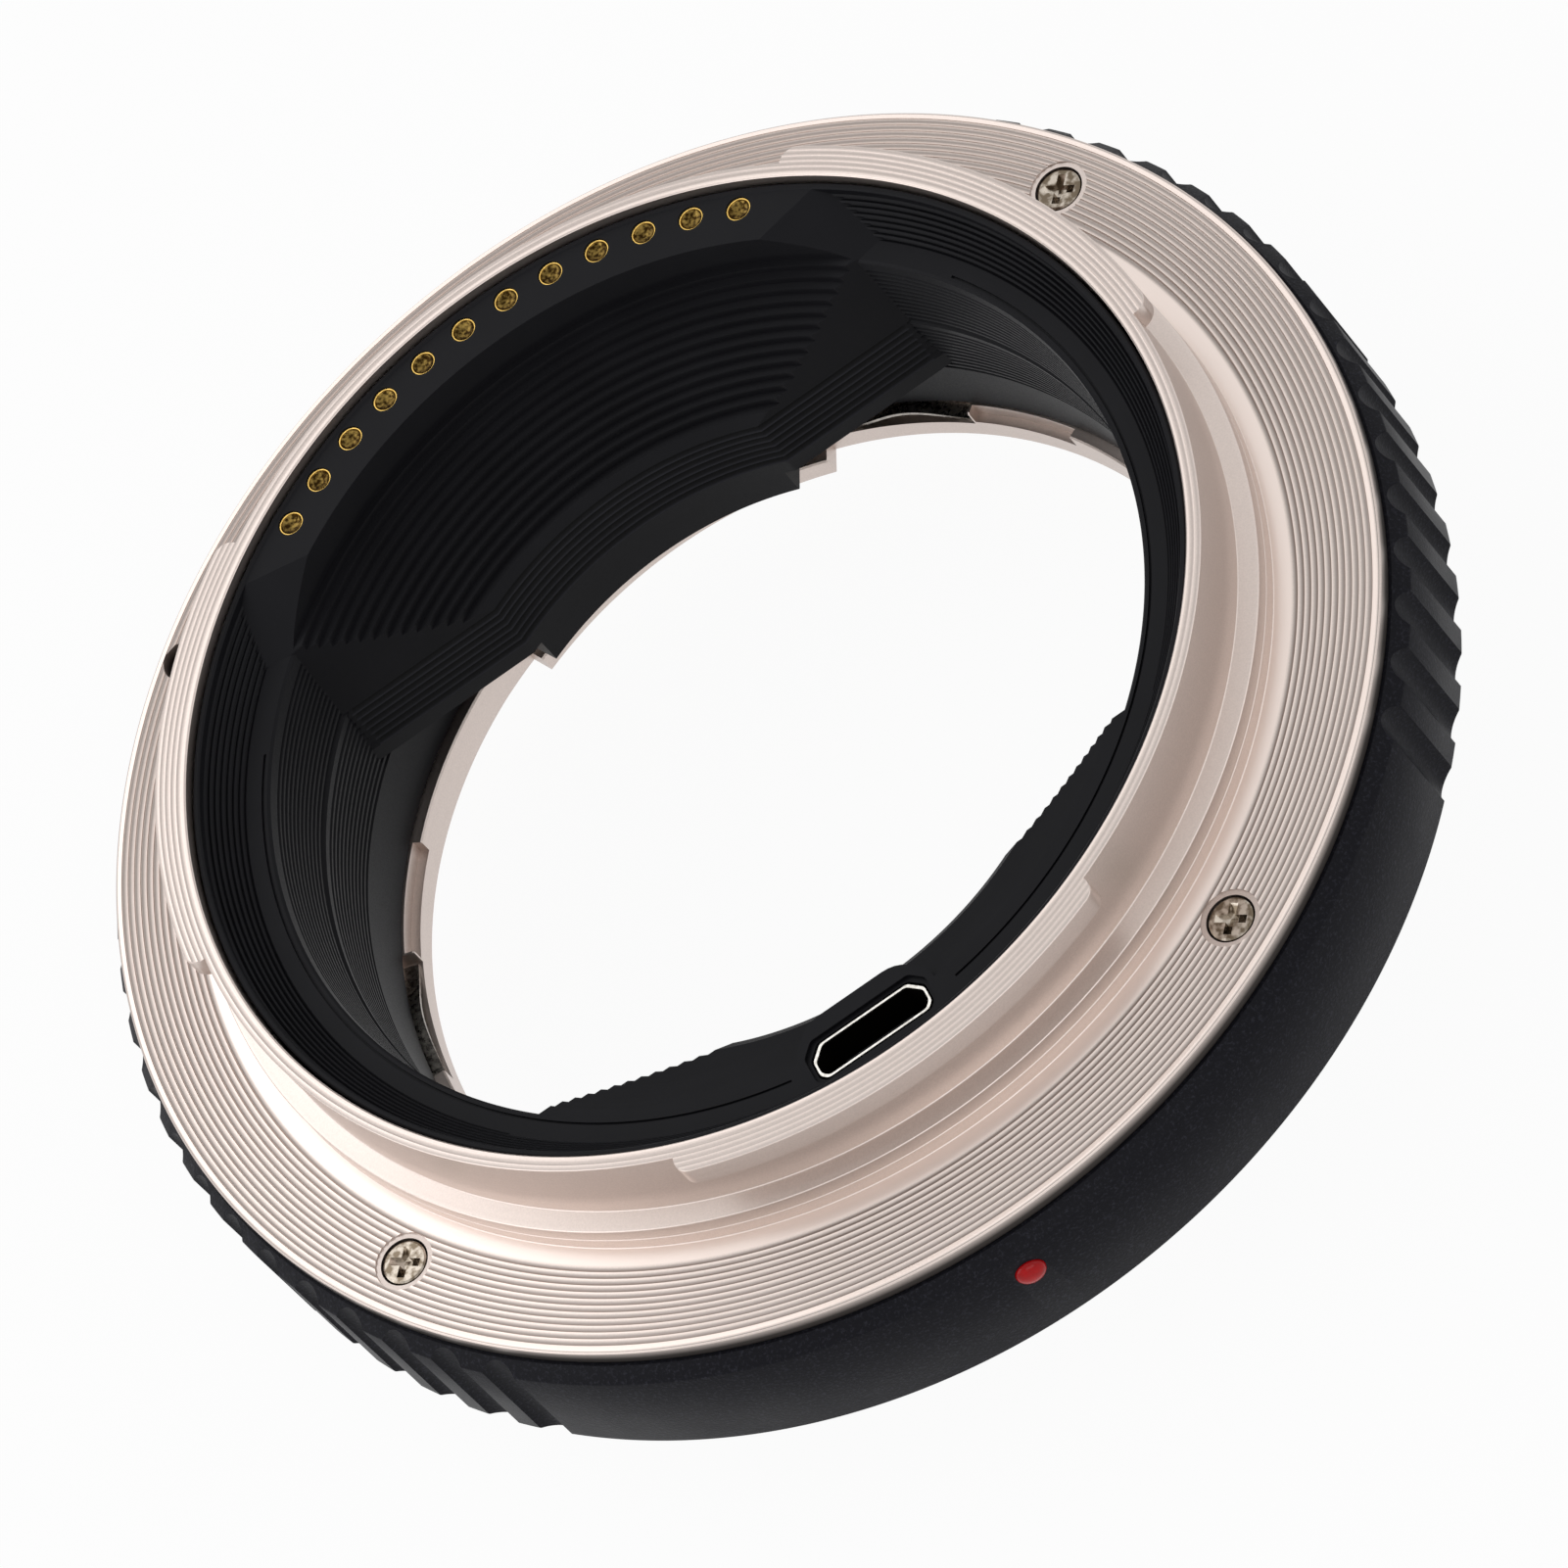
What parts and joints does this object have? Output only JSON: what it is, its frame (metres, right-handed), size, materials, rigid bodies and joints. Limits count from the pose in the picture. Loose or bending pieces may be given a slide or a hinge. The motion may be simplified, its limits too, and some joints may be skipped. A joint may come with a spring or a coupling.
{
  "type": "lens mount adapter",
  "caption": "Ring adapter that joins a lens bayonet to a camera bayonet, with fluted black housing, light baffle, electrical contacts, data socket and sprung lens release.",
  "frame": {"origin": "on the optical axis, in the flange face of the lens side", "axes": "+Z along the optical axis towards the camera side, -Y close to the index bead, +Y to the camera's contacts"},
  "size_m": [0.0822, 0.0827, 0.0263],
  "materials": {
    "black_anodised": "black anodised over a fine blasted surface",
    "nickel_plate": "turned and plated with warm nickel",
    "black_moulding": "matte black moulding",
    "board": "solder mask",
    "ribbon": "amber film",
    "bright_steel": "bright plated",
    "spring_steel": "bright spring steel",
    "gold_plate": "gold plated",
    "red_enamel": "glossy red"
  },
  "bodies": {
    "adapter": {"main_housing": "black_anodised", "rear_mount": "nickel_plate", "inner_baffle": "black_moulding", "circuit_board": "board", "rear_ribbon": "ribbon", "front_ribbon": "ribbon", "usb_socket_shell": "bright_steel", "usb_tongue": "black_moulding", "socket_riser": "board", "front_mount": "nickel_plate", "front_contact_block": "black_moulding", "release_spring": "spring_steel", "index_bead": "red_enamel", "front_index_dot": "red_enamel", "rear_mount_screw_1": "bright_steel", "rear_mount_screw_2": "bright_steel", "rear_mount_screw_3": "bright_steel", "rear_mount_screw_4": "bright_steel", "front_mount_screw_1": "bright_steel", "front_mount_screw_2": "bright_steel", "front_mount_screw_3": "bright_steel", "front_mount_screw_4": "bright_steel", "rear_contact_01": "gold_plate", "rear_contact_02": "gold_plate", "rear_contact_03": "gold_plate", "rear_contact_04": "gold_plate", "rear_contact_05": "gold_plate", "rear_contact_06": "gold_plate", "rear_contact_07": "gold_plate", "rear_contact_08": "gold_plate", "rear_contact_09": "gold_plate", "rear_contact_10": "gold_plate", "rear_contact_11": "gold_plate", "rear_contact_12": "gold_plate", "bayonet_spring_1": "spring_steel", "bayonet_spring_2": "spring_steel", "bayonet_spring_3": "spring_steel"},
    "lens_release": {"release_lever": "black_anodised", "release_arm": "spring_steel", "lock_pin": "bright_steel"},
    "contact_pin_1": {"front_contact_1": "gold_plate"},
    "contact_pin_2": {"front_contact_2": "gold_plate"},
    "contact_pin_3": {"front_contact_3": "gold_plate"},
    "contact_pin_4": {"front_contact_4": "gold_plate"},
    "contact_pin_5": {"front_contact_5": "gold_plate"},
    "contact_pin_6": {"front_contact_6": "gold_plate"},
    "contact_pin_7": {"front_contact_7": "gold_plate"},
    "contact_pin_8": {"front_contact_8": "gold_plate"}
  },
  "joints": [
    {"name": "lens_release_slide", "type": "slide", "parent": "adapter", "child": "lens_release", "axis": [0, 0, 1], "range_m": [0, 0.002], "stiffness_N_per_m": 300, "deforming": ["release_spring"]},
    {"name": "contact_pin_1_slide", "type": "slide", "parent": "adapter", "child": "contact_pin_1", "axis": [0, 0, 1], "range_m": [0, 0.001], "stiffness_N_per_m": 200},
    {"name": "contact_pin_2_slide", "type": "slide", "parent": "adapter", "child": "contact_pin_2", "axis": [0, 0, 1], "range_m": [0, 0.001], "stiffness_N_per_m": 200},
    {"name": "contact_pin_3_slide", "type": "slide", "parent": "adapter", "child": "contact_pin_3", "axis": [0, 0, 1], "range_m": [0, 0.001], "stiffness_N_per_m": 200},
    {"name": "contact_pin_4_slide", "type": "slide", "parent": "adapter", "child": "contact_pin_4", "axis": [0, 0, 1], "range_m": [0, 0.001], "stiffness_N_per_m": 200},
    {"name": "contact_pin_5_slide", "type": "slide", "parent": "adapter", "child": "contact_pin_5", "axis": [0, 0, 1], "range_m": [0, 0.001], "stiffness_N_per_m": 200},
    {"name": "contact_pin_6_slide", "type": "slide", "parent": "adapter", "child": "contact_pin_6", "axis": [0, 0, 1], "range_m": [0, 0.001], "stiffness_N_per_m": 200},
    {"name": "contact_pin_7_slide", "type": "slide", "parent": "adapter", "child": "contact_pin_7", "axis": [0, 0, 1], "range_m": [0, 0.001], "stiffness_N_per_m": 200},
    {"name": "contact_pin_8_slide", "type": "slide", "parent": "adapter", "child": "contact_pin_8", "axis": [0, 0, 1], "range_m": [0, 0.001], "stiffness_N_per_m": 200}
  ]
}
